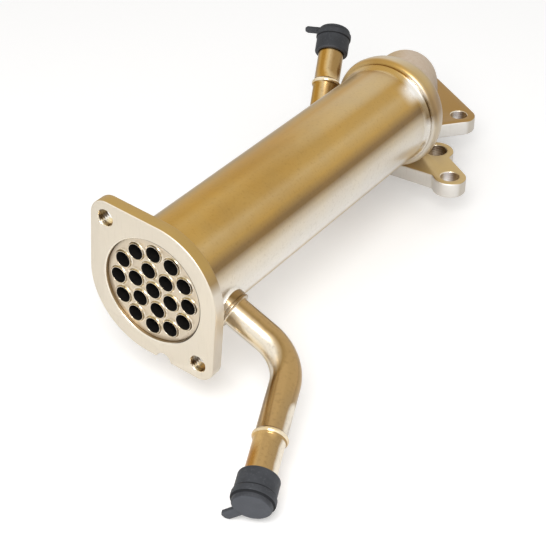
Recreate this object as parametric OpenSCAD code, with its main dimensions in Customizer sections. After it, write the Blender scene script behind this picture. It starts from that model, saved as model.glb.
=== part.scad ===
// Shell-and-tube exhaust gas cooler with capped coolant pipes.
// The shell lies along Y, the front gas face is at y = 0, Z is up. Sizes are in millimetres.

/* [Shell] */
// Outside diameter of the shell
shell_od = 60; // [50:0.5:70]
// Wall of the shell
shell_wall = 1.2; // [0.8:0.1:2]
// Length of the shell between its two end seats
shell_len = 224; // [200:1:260]

/* [Tube bundle] */
// Metal left between neighbouring gas tubes
tube_land = 1.86; // [1:0.01:3]
// Metal left between the outer gas tubes and the bore of the shell
edge_land = 2.35; // [1.5:0.01:4]
// Wall of a gas tube
tube_wall = 0.5; // [0.3:0.1:0.8]
// Direction of the first tube of the inner ring, from +X towards +Z
tube_turn = 101.6; // [0:0.1:120]
// How far the tube ends stand out of the tube sheets
tube_stand = 1.2; // [0.6:0.1:1.6]
// Thickness of a tube sheet
sheet_t = 2.5; // [2:0.1:3.5]
// Thickness of a baffle
baffle_t = 1.5; // [1:0.1:3]
// Share of the shell's bore that a baffle leaves open as its coolant window
baffle_open = 0.243; // [0.15:0.001:0.35]

/* [Front flange] */
// Thickness of the front flange
flange_t = 7.5; // [6:0.1:10]
// Radius of the round middle of the front flange
flange_r = 39.2; // [37:0.1:44]
// Distance between the two bolt holes
flange_bolts = 86; // [80:0.5:94]
// Diameter of a flange bolt hole
flange_hole = 9; // [7:0.1:10]
// Radius of a flange corner round its bolt hole
flange_corner = 9.5; // [8:0.1:12]
// Direction of the upper bolt hole, from +X towards +Z
flange_turn = 129; // [110:0.5:150]
// Depth at which the front tube sheet lies behind the flange face
recess = 2; // [1.6:0.1:2.6]
// Width of the chamfer round a flange bolt hole
chamfer = 0.4; // [0.2:0.1:0.5]
// Direction of the locating notch in the edge, from +X towards +Z
notch_turn = -83; // [-95:0.5:-75]
// Radius of the locating notch
notch_r = 4.4; // [3:0.1:5]
// Depth of the locating notch
notch_depth = 2.5; // [1.5:0.1:3]

/* [Gas collector] */
// Length by which the collector is socketed over the shell
socket_len = 4; // [3:0.1:8]
// Wall of the cast collector
cast_wall = 4; // [3:0.1:4.5]
// Height of the flared rim over the shell
flare = 4.6; // [3:0.1:6]
// Radius at which the rear of the bowl is rounded
bowl_round = 22; // [16:0.5:26]
// Outside diameter of the outlet duct
duct_od = 40; // [36:0.5:42]
// Radius of the duct's bend, at its middle line
duct_bend = 26.5; // [25:0.5:34]
// Distance of the outlet from the shell's axis, to the left
outlet_side = 28; // [20:0.5:34]
// Distance of the outlet behind the end of the shell
outlet_back = 74.5; // [68:0.5:84]

/* [Rear flange] */
// Thickness of the rear flange
foot_t = 9.6; // [7:0.1:12]
// Radius of the rear flange round the outlet
foot_r = 33; // [28:0.5:36]
// Radius of a bolt corner of the rear flange
foot_corner = 10.5; // [9:0.1:12]
// Diameter of the bolt holes of the rear flange
foot_hole = 10.5; // [7:0.1:11]
// Diameter of the hole in the near ear
ear_hole = 11; // [8:0.1:12]
// Diameter of the hole in the far ear
ear_far_hole = 13; // [10:0.1:14]
// Radius of the bolt circle round the outlet
foot_bolts = 36; // [34:0.5:39]

/* [Coolant pipes] */
// Outside diameter of the coolant pipes
pipe_od = 16; // [14:0.1:18]
// Wall of the coolant pipes
pipe_wall = 1; // [0.8:0.1:1.5]
// Outside diameter of the hose bead
bead_od = 18.4; // [17:0.1:20]
// Outside diameter of a pipe boss
boss_od = 20.5; // [19.5:0.1:23]
// Height of a pipe boss, from the shell's bore
boss_h = 6; // [5:0.1:6]
// Length of pipe from the hose bead to the open end
hose_len = 37; // [30:0.5:42]
// Distance of the front pipe behind the front face
front_pipe_y = 26.2; // [22:0.1:40]
// Straight length of the front pipe before its bend
front_root = 26.9; // [22:0.1:32]
// Radius of the front pipe's bend, at its middle line
front_bend_r = 26.6; // [20:0.1:32]
// Straight length of the front pipe after its bend
front_pipe_end = 69; // [60:0.5:80]
// Distance of the rear pipe before the end of the shell
rear_pipe_back = 28.5; // [22:0.5:48]
// Straight length of the rear pipe before its bend
rear_root = 6.2; // [6:0.1:12]
// Radius of the rear pipe's bend, at its middle line
rear_bend_r = 20; // [16:0.1:26]
// Straight length of the rear pipe after its bend
rear_pipe_end = 81.5; // [70:0.5:90]

/* [Rubber caps] */
// Length of a cap
cap_len = 17; // [14:0.5:20]
// Outside diameter of a cap at its open rim
cap_rim = 21; // [19:0.1:21.5]
// Outside diameter of a cap over its ridge
cap_ridge = 22.2; // [21.6:0.1:24]
// Outside diameter of a cap at its closed end
cap_end = 20; // [18.5:0.1:21]

/* [Hidden] */
// Radial gap of a brazed joint
braze_gap = 0.1;
fit_gap = 0.15;
flank_inset = 0.02;
// How much wider a bend is than the straights that run into it, and how far they run in
swell = 0.02;
lap = 0.3;
$fn = 96;

shell_r = shell_od / 2;
shell_bore = shell_r - shell_wall;
shell_y0 = recess + sheet_t;
shell_y1 = shell_y0 + shell_len;
rear_inset = 2;
rear_sheet_y = shell_y1 - rear_inset - sheet_t;
tube_y0 = recess - tube_stand;
tube_y1 = rear_sheet_y + sheet_t + tube_stand;
// The outer ring's twelve tubes and the inner ring's six share one pitch
pitch_share = 2 * sin(15);
tube_od = (pitch_share * (shell_bore - edge_land) - tube_land) / (1 + pitch_share / 2);
tube_pitch = tube_od + tube_land;
ring_r = tube_pitch / pitch_share;
seat_step = 0.8;
recess_r = shell_r - seat_step;
baffle_window = baffle_open * 2 * shell_bore;
window_turn = 30;
function polar(r, a) = [r * cos(a), r * sin(a)];
TUBES = concat(
    [[0, 0]],
    [for (i = [0:5]) polar(tube_pitch, tube_turn + 60 * i)],
    [for (i = [0:11]) polar(ring_r, tube_turn + 15 + 30 * i)]);

bowl_r = shell_r + flare;
bowl_y = shell_y1;
lip_y = shell_y1 - socket_len;
lip_h = 1.6;
lip_w = 1.5;
lip_r = shell_r + lip_h;
foot_top = -bowl_r - fit_gap;
outlet = [-outlet_side, shell_y1 + outlet_back];
duct_lead = 8;
duct_start = [0, bowl_y + duct_lead];
duct_run = norm(outlet - duct_start);
duct_turn = atan2(outlet_side, outlet[1] - duct_start[1]);
// The duct bends a little past square, so that its end lies wholly below the rear flange's top
duct_angle = 92;
duct_z = foot_top + duct_bend;
duct_r = duct_od / 2;
port_r = duct_r - cast_wall;
foot_holes = [for (a = [10, 100, 235]) outlet + polar(foot_bolts, a)];
shell_end = [0, shell_y1];
ear_near = shell_end + [40.6, 7.9];
ear_far = shell_end + [18.2, 31.5];
ear_near_r = 10;
ear_far_r = 10.8;
ear_web = 4;
ear_fillet = 3.5;
foot_front = shell_y1 + 3;
foot_left = -6;

pipe_r = pipe_od / 2;
// Each pipe: station along Y, direction of its root from +X towards +Z, spin of its bend round the
// root, angle and radius of the bend, straight root, straight end, turn of its cap's pull tab
front_pipe = [front_pipe_y, -24.3, -84, 65, front_bend_r, front_root, front_pipe_end, 60];
rear_pipe = [shell_y1 - rear_pipe_back, 234.4, 51.2, 106.5, rear_bend_r, rear_root, rear_pipe_end, 238];
function station(p) = p[0];
function heading(p) = p[1];
function spin(p) = p[2];
function bend(p) = p[3];
function bend_r(p) = p[4];
function root(p) = p[5];
function end(p) = p[6];
function tab_turn(p) = p[7];
cap_wall = 2.2;
cap_round = 0.8;
ridge_w = 3;
ridge_slope = 0.6;
ridge_start = cap_len - 6.2;
ridge_stop = ridge_start + ridge_w;
tab_w = 6;
tab_t = 2;
tab_corner = 1.6;
tab_out = 7.7;
tab_reach = cap_ridge / 2 + tab_out;

function tube_name(i) = str("gas_tube_", i < 9 ? "0" : "", i + 1);

steel = [0.78, 0.70, 0.58];
bright = [0.90, 0.86, 0.79];
cast = [0.80, 0.74, 0.69];
rubber = [0.24, 0.24, 0.27];

// Stands a flat outline, drawn in X and Z, between two stations along Y.
module slab(y0, y1) {
    translate([0, y1, 0]) rotate([90, 0, 0]) linear_extrude(y1 - y0) children();
}

// Turns a profile of radius and station round the shell's axis.
module revolve() {
    rotate([-90, 0, 0]) rotate_extrude() children();
}

// A round bar on the shell's axis.
module bar(r, y0, y1) {
    translate([0, y0, 0]) rotate([-90, 0, 0]) cylinder(r = r, h = y1 - y0);
}

// Two discs and the straight flanks that run from one to the other, just inside their edges.
module link(a, ra, b, rb) {
    d = b - a;
    along = atan2(d[1], d[0]);
    side = acos((ra - rb) / norm(d));
    pa = ra - flank_inset;
    pb = rb - flank_inset;
    translate(a) circle(ra);
    translate(b) circle(rb);
    polygon([a + polar(pa, along - side), b + polar(pb, along - side),
             b + polar(pb, along + side), a + polar(pa, along + side)]);
}

module front_flange() {
    bolts = [for (s = [0, 180]) polar(flange_bolts / 2, flange_turn + s)];
    color(bright) difference() {
        slab(0, flange_t) difference() {
            for (b = bolts) link([0, 0], flange_r, b, flange_corner);
            for (b = bolts) translate(b) circle(d = flange_hole);
            translate(polar(flange_r + notch_r - notch_depth, notch_turn)) circle(notch_r);
            circle(recess_r);
        }
        bar(shell_r + braze_gap, shell_y0, flange_t + 1);
        for (b = bolts) translate([b[0], -0.01, b[1]]) rotate([-90, 0, 0])
            cylinder(r1 = flange_hole / 2 + chamfer, r2 = flange_hole / 2, h = chamfer);
    }
}

// A tube sheet: a disc drilled for every tube.
module tube_sheet(r, y) {
    slab(y, y + sheet_t) difference() {
        circle(r);
        for (t = TUBES) translate(t) circle(tube_od / 2 + braze_gap);
    }
}

module front_tube_sheet() {
    color(bright) tube_sheet(recess_r - braze_gap, recess);
}

module rear_tube_sheet() {
    color(bright) tube_sheet(shell_bore - braze_gap, rear_sheet_y);
}

module gas_tube(i) {
    color(steel) slab(tube_y0, tube_y1) translate(TUBES[i]) difference() {
        circle(tube_od / 2);
        circle(tube_od / 2 - tube_wall);
    }
}

// A baffle leaves a window open on one side; neighbours face opposite ways.
module baffle(y, side) {
    color(steel) slab(y, y + baffle_t) difference() {
        circle(shell_bore - fit_gap);
        for (t = TUBES) translate(t) circle(tube_od / 2 + braze_gap);
        rotate(side) translate([shell_bore - baffle_window, -shell_r]) square(2 * shell_r);
    }
}

module front_baffle() {
    baffle(shell_y0 + shell_len / 3, tube_turn + window_turn);
}

module rear_baffle() {
    baffle(shell_y0 + shell_len * 2 / 3, tube_turn + window_turn + 180);
}

module shell() {
    color(steel) difference() {
        bar(shell_r, shell_y0, shell_y1);
        bar(shell_bore, shell_y0 - 1, shell_y1 + 1);
        for (p = [front_pipe, rear_pipe]) at_pipe(p) cylinder(r = pipe_r + braze_gap, h = shell_od);
    }
}

// The bowl behind the socket, with its rear rounded: start gives the front end of its profile.
module bowl(r, round, start) {
    revolve() {
        polygon(concat(start, [[r, bowl_y], [r - round, bowl_y],
                               [r - round, bowl_y + round], [0, bowl_y + round]]));
        translate([r - round, bowl_y]) intersection() {
            circle(round);
            square(round);
        }
    }
}

// Places what follows at the start of the slanted outlet duct, along +Y.
module at_duct() {
    translate([0, duct_start[1], duct_z]) rotate([0, 0, duct_turn]) children();
}

// A bar bent through an angle: it starts at the origin along Z and turns towards X.
module bent_bar(r, bend, angle) {
    translate([bend, 0, 0]) rotate([90, 0, 180])
        rotate_extrude(angle = angle) translate([bend, 0]) circle(r + swell);
}

// The outlet duct as a round bar: straight, then bent down a little past the rear flange's top.
module duct(r) {
    straight = duct_run - duct_bend;
    at_duct() {
        rotate([-90, 0, 0]) cylinder(r = r, h = straight + lap);
        translate([0, straight, 0]) rotate([-90, 90, 0]) bent_bar(r, duct_bend, duct_angle);
    }
}

module gas_collector() {
    color(cast) difference() {
        union() {
            bowl(bowl_r, bowl_round, [[0, lip_y], [lip_r, lip_y], [lip_r, lip_y + lip_w]]);
            duct(duct_r);
        }
        translate([-shell_len, 0, foot_top - shell_len]) cube([2 * shell_len, 2 * shell_len, shell_len]);
        bar(shell_r + braze_gap, lip_y - 1, shell_y1);
        bowl(shell_bore, bowl_round - cast_wall, [[0, bowl_y - 1], [shell_bore, bowl_y - 1]]);
        duct(port_r);
    }
}

// The concave corner between a disc at c and a straight edge through q: u runs along the edge, with
// open ground on its right, and s says on which side of the disc the corner lies. Its arc runs out
// just inside both.
module corner_fillet(c, rc, q, u, s, r) {
    n = [u[1], -u[0]];
    h = (c - q) * n + flank_inset;
    foot = c - h * n + s * sqrt(pow(rc - flank_inset + r, 2) - pow(r - h, 2)) * u;
    mid = foot + r * n;
    difference() {
        polygon(s > 0 ? [c, mid, foot] : [c, foot, mid]);
        translate(mid) circle(r);
    }
}

module rear_flange() {
    ears = [[ear_near, ear_hole], [ear_far, ear_far_hole]];
    holes = concat([for (h = foot_holes) [h, foot_hole]], ears);
    d = ear_far - ear_near;
    web_turn = atan2(d[1], d[0]) - acos((ear_near_r - ear_web) / norm(d));
    color(bright) translate([0, 0, foot_top - foot_t]) linear_extrude(foot_t) difference() {
        union() {
            for (h = foot_holes) link(outlet, foot_r, h, foot_corner);
            link(foot_holes[0], foot_corner, foot_holes[1], foot_corner);
            link(ear_near, ear_near_r, ear_far, ear_web);
            translate(ear_far) circle(ear_far_r);
            corner_fillet(ear_far, ear_far_r, ear_near + polar(ear_near_r - flank_inset, web_turn),
                          polar(1, web_turn + 90), -1, ear_fillet);
            corner_fillet(ear_near, ear_near_r, [0, foot_front], [1, 0], -1, ear_fillet);
            polygon([[foot_left, foot_front], [ear_near[0], foot_front], ear_near, ear_far, outlet]);
        }
        translate(outlet) circle(port_r);
        for (h = holes) translate(h[0]) circle(d = h[1]);
    }
}

// Places what follows at the root of a coolant pipe, with Z along the pipe and X towards its bend.
module at_pipe(p) {
    translate([0, station(p), 0]) rotate([0, 90 - heading(p), 0]) rotate([0, 0, spin(p)]) children();
}

// Places what follows at the end of a pipe's bend, with Z along its straight end.
module after_bend(p) {
    translate([bend_r(p) * (1 - cos(bend(p))), 0, shell_bore + root(p) + bend_r(p) * sin(bend(p))])
        rotate([0, bend(p), 0]) children();
}

// A pipe as a round bar along its middle line.
module pipe_bar(p, r, extra) {
    translate([0, 0, shell_bore - extra]) cylinder(r = r, h = root(p) + extra + lap);
    translate([0, 0, shell_bore + root(p)]) bent_bar(r, bend_r(p), bend(p));
    after_bend(p) translate([0, 0, -lap]) cylinder(r = r, h = end(p) + extra + lap);
}

module coolant_pipe(p) {
    color(steel) at_pipe(p) difference() {
        union() {
            pipe_bar(p, pipe_r, 0);
            after_bend(p) translate([0, 0, end(p) - hose_len]) rotate_extrude()
                translate([pipe_r, 0]) circle(bead_od / 2 - pipe_r);
        }
        pipe_bar(p, pipe_r - pipe_wall, 1);
    }
}

module pipe_boss(p) {
    color(steel) difference() {
        at_pipe(p) translate([0, 0, shell_bore]) cylinder(d = boss_od, h = boss_h);
        at_pipe(p) cylinder(r = pipe_r + braze_gap, h = shell_od);
        bar(shell_r + braze_gap, 0, shell_y1);
    }
}

// A pull tab with its corners cut off, which stands out from the cap's end.
module pull_tab() {
    side = tab_w / 2;
    blunt = tab_reach - tab_corner;
    linear_extrude(tab_t) polygon([[0, -side], [blunt, -side], [tab_reach, tab_corner - side],
        [tab_reach, side - tab_corner], [blunt, side], [0, side]]);
}

// A pushed-on cap: it has a ridge round it, and past that a narrower closed end with the pull tab.
module pipe_cap(p) {
    bore = pipe_r + braze_gap;
    floor_z = cap_len - cap_wall + braze_gap;
    rim_r = cap_rim / 2;
    end_r = cap_end / 2;
    color(rubber) at_pipe(p) after_bend(p) translate([0, 0, end(p) - cap_len + cap_wall]) {
        rotate_extrude() polygon([[bore, 0], [rim_r - cap_round, 0], [rim_r, cap_round],
            [rim_r, ridge_start - ridge_slope], [cap_ridge / 2, ridge_start], [cap_ridge / 2, ridge_stop],
            [end_r, ridge_stop + ridge_slope], [end_r, cap_len - cap_round], [end_r - cap_round, cap_len],
            [0, cap_len], [0, floor_z], [bore, floor_z]]);
        rotate([0, 0, tab_turn(p)]) translate([0, 0, cap_len - tab_t]) pull_tab();
    }
}

front_flange();
front_tube_sheet();
shell();
rear_tube_sheet();
front_baffle();
rear_baffle();
gas_collector();
rear_flange();
pipe_boss(front_pipe);  // front_pipe_boss
pipe_boss(rear_pipe);  // rear_pipe_boss
coolant_pipe(front_pipe);  // front_coolant_pipe
coolant_pipe(rear_pipe);  // rear_coolant_pipe
pipe_cap(front_pipe);  // front_pipe_cap
pipe_cap(rear_pipe);  // rear_pipe_cap
for (i = [0:len(TUBES) - 1]) gas_tube(i);
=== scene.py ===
import math

import bmesh
import bpy
from mathutils import Matrix, Vector


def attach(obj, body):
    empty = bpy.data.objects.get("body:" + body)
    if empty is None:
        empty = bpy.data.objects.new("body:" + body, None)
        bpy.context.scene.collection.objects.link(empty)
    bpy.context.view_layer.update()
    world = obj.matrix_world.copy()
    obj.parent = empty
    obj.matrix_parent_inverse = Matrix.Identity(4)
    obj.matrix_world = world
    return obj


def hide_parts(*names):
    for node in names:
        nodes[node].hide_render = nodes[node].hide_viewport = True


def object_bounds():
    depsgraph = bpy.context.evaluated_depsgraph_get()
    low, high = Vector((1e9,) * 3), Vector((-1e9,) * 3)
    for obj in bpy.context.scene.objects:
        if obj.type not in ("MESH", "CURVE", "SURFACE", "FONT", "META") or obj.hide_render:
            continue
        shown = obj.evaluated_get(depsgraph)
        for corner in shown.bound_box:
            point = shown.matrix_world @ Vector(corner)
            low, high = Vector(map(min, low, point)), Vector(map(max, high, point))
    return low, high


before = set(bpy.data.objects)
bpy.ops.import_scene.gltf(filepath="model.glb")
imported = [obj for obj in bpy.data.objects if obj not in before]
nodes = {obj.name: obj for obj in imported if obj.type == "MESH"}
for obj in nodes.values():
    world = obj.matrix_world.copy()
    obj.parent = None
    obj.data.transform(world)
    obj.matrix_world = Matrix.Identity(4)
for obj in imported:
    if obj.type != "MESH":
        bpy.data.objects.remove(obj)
cad_low, cad_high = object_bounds()


# The shell is a drawn stainless tube, brazed into the front flange and into the gas collector.
# Its colour is painted by the angle round it as reflection: straw on its upper side for a warm room,
# a brown line for the horizon, and pale steel below that is partly the painted reflection of a white floor.
SHARP_EDGE = 38
RING_WELD = 1e-7
RING_STEPS = 144
CORNER_SHARE = 0.45
CORNER_STEPS = 5
BUMP_DEPTH = 0.0002


class Wire:
    """One output of a shader node; arithmetic on it adds Math nodes to the same material."""

    def __init__(self, tree, socket=None):
        self.tree = tree
        self.socket = socket

    def node(self, kind, settings=None, sockets=None, out=0):
        fresh = self.tree.nodes.new(kind)
        for key, value in (settings or {}).items():
            if key == "stops":
                while len(fresh.color_ramp.elements) < len(value):
                    fresh.color_ramp.elements.new(0.5)
                for element, (place, colour) in zip(fresh.color_ramp.elements, value):
                    element.position = place
                    element.color = colour
            else:
                setattr(fresh, key, value)
        for key, value in (sockets or {}).items():
            if isinstance(value, Wire):
                self.tree.links.new(value.socket, fresh.inputs[key])
            else:
                fresh.inputs[key].default_value = value
        return Wire(self.tree, fresh.outputs[out])

    def maths(self, operation, first, second):
        return self.node("ShaderNodeMath", {"operation": operation}, {0: first, 1: second})

    def __add__(self, other):
        return self.maths("ADD", self, other)

    def __sub__(self, other):
        return self.maths("SUBTRACT", self, other)

    def __rsub__(self, other):
        return self.maths("SUBTRACT", other, self)

    def __mul__(self, other):
        return self.maths("MULTIPLY", self, other)

    __radd__ = __add__
    __rmul__ = __mul__

    def between(self, low, high):
        """A smooth step from 0 at the low value to 1 at the high one."""
        return self.node("ShaderNodeMapRange", {"interpolation_type": "SMOOTHSTEP"},
                         {"Value": self, "From Min": low, "From Max": high})

    def spot(self, letter=None):
        """The place on the object in metres, or one coordinate of it."""
        place = self.node("ShaderNodeTexCoord", out="Object")
        if letter is None:
            return place
        return self.node("ShaderNodeSeparateXYZ", {}, {"Vector": place}, out=letter)

    def along(self, letter, low, high):
        """A smooth step between two stations on one axis, in mm."""
        return self.spot(letter).between(low / 1000, high / 1000)

    def grain(self, scale, detail=3.0, stretch=(1, 1, 1)):
        place = self.node("ShaderNodeMapping", {}, {"Vector": self.spot(), "Scale": stretch})
        return self.node("ShaderNodeTexNoise", {}, {"Vector": place, "Scale": scale, "Detail": detail})

    def facing(self, direction):
        """1 where the surface faces this way, -1 where it faces the other way."""
        normal = self.node("ShaderNodeNewGeometry", out="Normal")
        return self.node("ShaderNodeVectorMath", {"operation": "DOT_PRODUCT"},
                         {0: normal, 1: Vector(direction).normalized()}, out="Value")

    def mix(self, factor, first, second, blend="MIX"):
        """Two colours mixed: the node's sockets 6 and 7 and its output 2 are the ones for colour."""
        return self.node("ShaderNodeMix", {"data_type": "RGBA", "blend_type": blend},
                         {"Factor": factor, 6: first, 7: second}, out=2)

    def ramp(self, value, stops):
        return self.node("ShaderNodeValToRGB", {"stops": stops}, {"Fac": value})

    def bump(self, height, strength):
        return self.node("ShaderNodeBump", {},
                         {"Strength": strength, "Distance": BUMP_DEPTH, "Height": height})


def tone(red, green, blue):
    """A colour as the eye reads it on a screen, 0 to 255, as linear light."""
    return tuple((c / 255 / 12.92) if c < 10.3 else ((c / 255 + 0.055) / 1.055) ** 2.4
                 for c in (red, green, blue)) + (1.0,)


def finish_of(name, metallic, specular=0.5):
    """A new material with the even values of its shader set; returns it, its shader and a Wire."""
    material = bpy.data.materials.new(name)
    material.use_nodes = True
    shader = material.node_tree.nodes["Principled BSDF"]
    shader.inputs["Metallic"].default_value = metallic
    shader.inputs["Specular IOR Level"].default_value = specular
    return material, shader, Wire(material.node_tree)


def feed(shader, socket, wire):
    wire.tree.links.new(wire.socket, shader.inputs[socket])


def made(name, shape, sharp=SHARP_EDGE):
    """The shape as an object, shaded smooth but for edges sharper than this angle."""
    mesh = bpy.data.meshes.new(name)
    shape.to_mesh(mesh)
    shape.free()
    for face in mesh.polygons:
        face.use_smooth = True
    mesh.set_sharp_from_angle(angle=math.radians(sharp))
    piece = bpy.data.objects.new(name, mesh)
    bpy.context.scene.collection.objects.link(piece)
    return piece


def mm(x, y, z):
    return Vector((x, y, z)) / 1000


def around(steps):
    return [2 * math.pi * i / steps for i in range(steps)]


def quarter(steps):
    return [math.pi / 2 * i / steps for i in range(steps + 1)]


def skinned(name, rings, closed=True):
    """A smooth skin over rings of points, each ring joined to the next."""
    shape = bmesh.new()
    loops = [[shape.verts.new(point) for point in ring] for ring in rings]
    following = loops[1:] + loops[:1] if closed else loops[1:]
    for ring, after in zip(loops, following):
        for i in range(len(ring)):
            j = (i + 1) % len(ring)
            shape.faces.new((ring[i], ring[j], after[j], after[i]))
    bmesh.ops.remove_doubles(shape, verts=shape.verts, dist=RING_WELD)
    bmesh.ops.recalc_face_normals(shape, faces=shape.faces)
    return made(name, shape)


def turned(name, profile, place, steps=RING_STEPS):
    """A lathe-turned piece: a closed profile of radius and station turned about Z of its place."""
    rings = [[place @ mm(radius * math.cos(a), radius * math.sin(a), station) for a in around(steps)]
             for radius, station in profile]
    return skinned(name, rings)


def eased(profile, radius):
    """The closed profile with each corner rounded."""
    out = []
    for i, corner in enumerate(profile):
        before = Vector(profile[i - 1])
        here = Vector(corner)
        after = Vector(profile[(i + 1) % len(profile)])
        shorter = min((before - here).length, (after - here).length)
        reach = min(radius, CORNER_SHARE * shorter)
        start = here + (before - here).normalized() * reach
        end = here + (after - here).normalized() * reach
        for k in range(CORNER_STEPS + 1):
            t = k / CORNER_STEPS
            out.append(tuple(start * (1 - t) ** 2 + here * 2 * t * (1 - t) + end * t * t))
    return out


def dress(piece, material, slot, *replaced):
    """Gives a piece its material, says what it rides on and hides the nodes it stands for; its slot is not
    used.
    """
    piece.data.materials.clear()
    piece.data.materials.append(material)
    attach(piece, "root")
    if replaced:
        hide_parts(*replaced)


def tint_round(wire, stops, drift):
    """The colour of a piece round about the shell's axis by the angle from +X to +Z: a painted reflection."""
    turn = wire.maths("ARCTAN2", wire.spot("Z"), wire.spot("X")) * (0.5 / math.pi) + 0.5
    return wire.ramp(turn + drift, [((angle + 180) / 360, colour) for angle, colour in stops])


SHELL_R = 30.0
SHELL_BORE = 28.8
SHELL_START = 4.5
SHELL_END = 228.5
SHELL_EASE = 0.3
PALE_FROM = 80.0
PALE_TO = 210.0
GLINT_FROM = 209.0
GLINT_TO = 222.5
GLINT_LOWER = (math.radians(32), math.radians(47))
GLINT_UPPER = (math.radians(50), math.radians(65))
along_shell = Matrix.Rotation(math.radians(-90), 4, "X")

straw = tone(182, 148, 86)
straw_pale = tone(192, 163, 112)
straw_olive = tone(178, 143, 79)
straw_deep = tone(176, 137, 62)
straw_rich = tone(180, 140, 60)
straw_dull = tone(178, 143, 70)
straw_grey = tone(170, 143, 92)
horizon_line_reflection = tone(138, 112, 75)
lower_line = tone(178, 148, 98)
lower_edge = tone(200, 180, 144)
bare_bright = tone(246, 243, 239)
bare_steel = tone(232, 227, 218)
bare_warm = tone(226, 216, 200)
bare_edge = tone(202, 185, 158)
under_steel = tone(206, 190, 164)

# Painted reflection by angle: straw on top, a dark horizon line at 24 to 28 and at 152 degrees, darker toward
# the lower edge, pale below.
shell_tints = [(-150, under_steel), (-60, under_steel), (-44, lower_line), (-34, lower_edge),
               (-23, bare_bright), (-6, bare_steel), (8, bare_warm), (17, bare_edge), (24, horizon_line_reflection),
               (28, horizon_line_reflection), (38, straw), (50, straw_pale), (58, straw), (70, straw_olive),
               (82, straw), (92, straw_deep), (106, straw_rich), (115, straw_dull), (122, straw_grey),
               (131, bare_edge), (140, straw), (152, horizon_line_reflection), (163, bare_edge), (176, bare_steel)]


def shell_paint(wire):
    """The shell's painted reflection by angle, paler on top toward the rear, and a painted highlight on one
    stretch before the collar.
    """
    drift = (wire.grain(14, 2, (1, 0.4, 1)) - 0.5) * 0.01
    painted = tint_round(wire, shell_tints, drift)
    on_top = wire.facing((0.09, 0, 1)).between(0.94, 0.995)
    painted = wire.mix(wire.along("Y", PALE_FROM, PALE_TO) * on_top * 0.75, painted, tone(198, 176, 136))
    # A painted highlight: one stretch of the shell before the collar is near white.
    turn = wire.maths("ARCTAN2", wire.spot("Z"), wire.spot("X"))
    glint = turn.between(*GLINT_LOWER) * (1 - turn.between(*GLINT_UPPER))
    return wire.mix(wire.along("Y", GLINT_FROM, GLINT_TO) * glint, painted, tone(248, 245, 240))


shell_steel, shader, wire = finish_of("painted_reflection_shell_steel", 1.0)
painted = shell_paint(wire)
cloud = wire.grain(60, 4)
speck = wire.grain(750, 3)
draw_lines = wire.grain(1100, 2, (1, 0.03, 1))
stain = wire.grain(26, 6, (1, 0.55, 1))
painted = wire.mix(cloud.between(0.3, 0.75) * 0.22, painted, tone(236, 216, 172), "SOFT_LIGHT")
painted = wire.mix(stain.between(0.5, 0.66) * 0.2, painted, tone(216, 196, 150), "MULTIPLY")
painted = wire.mix((0.5 - speck).between(0, 0.3) * 0.18, painted, tone(150, 124, 84), "MULTIPLY")
feed(shader, "Base Color", painted)
feed(shader, "Roughness", 0.27 + cloud * 0.08 + speck * 0.06)
feed(shader, "Normal", wire.bump(speck * 0.6 + draw_lines * 0.5, 0.07))
shell_profile = eased([(SHELL_BORE, SHELL_START), (SHELL_R, SHELL_START), (SHELL_R, SHELL_END),
                       (SHELL_BORE, SHELL_END)], SHELL_EASE)
shell = turned("drawn_shell", shell_profile, along_shell)
dress(shell, shell_steel, "brazed_steel", "shell")


# The front flange is thick plate, profile cut, with its face machined flat, two bolt holes and a
# locating notch in the edge. The shell is brazed into its back with a run of filler.
FLANGE_T = 7.5
FLANGE_BOLTS = 43.0
FLANGE_TURN = 129.0
BOLT_HOLE_R = 4.5
RECESS_R = 29.2
PLATE_EDGE = 0.8
FLAT_ANGLE = 0.3
CORNER_ANGLE = 60
PLATE_SHARP = 30
SOLID_WELD = 2e-6
MARK_PITCH = 1.6
RIM_REACH = 0.8
RIM_LEAN = 0.4
FILLER_STEPS = 8
FILLER_ROOT = 0.4
FILLER_SINK = 0.3
FLANGE_FILLER = 1.7


def cut_plate(node, name, edge):
    """The solid's own outline with its edges eased, as a cut and deburred plate has them."""
    shape = bmesh.new()
    shape.from_mesh(nodes[node].data)
    bmesh.ops.remove_doubles(shape, verts=shape.verts, dist=SOLID_WELD)
    bmesh.ops.dissolve_limit(shape, angle_limit=math.radians(FLAT_ANGLE), verts=shape.verts,
                             edges=shape.edges)
    corner = math.radians(CORNER_ANGLE)
    hard = [e for e in shape.edges if len(e.link_faces) == 2 and e.calc_face_angle() > corner]
    bmesh.ops.bevel(shape, geom=hard, offset=edge / 1000, segments=3, profile=0.5, affect="EDGES")
    return made(name, shape, PLATE_SHARP)


def plate_steel(name, face, top, wall, line, retint=None):
    """Bare plate, pale on its machined face and its walls, with a painted reflection by facing: straw on
    faces that look up and a dark line below them.
    """
    material, shader, wire = finish_of(name, 1.0)
    cloud = wire.grain(55, 4)
    lay = wire.grain(800, 2, (1, 1, 0.12))
    up = wire.facing((0, 0, 1)) * 0.5 + 0.5 + (cloud - 0.5) * 0.03
    front = wire.facing((0, -1, 0)).between(0.3, 0.6)
    # Painted reflection by facing: wall colour, a dark horizon line, then straw on faces that look up.
    base = wire.ramp(up, [(0.0, wall), (0.64, wall), (0.71, line), (0.8, top), (1.0, top)])
    if retint:
        base = retint(wire, base, up.between(0.8, 0.9))
    base = wire.mix(front, base, face)
    base = wire.mix(cloud.between(0.3, 0.75) * 0.1, base, tone(244, 230, 200), "SOFT_LIGHT")
    base = wire.mix((0.5 - lay).between(0, 0.35) * 0.08, base, tone(150, 130, 100), "MULTIPLY")
    feed(shader, "Base Color", base)
    feed(shader, "Roughness", 0.36 + front * 0.1 + cloud * 0.08)
    feed(shader, "Normal", wire.bump(lay + cloud, 0.06))
    return material


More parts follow.
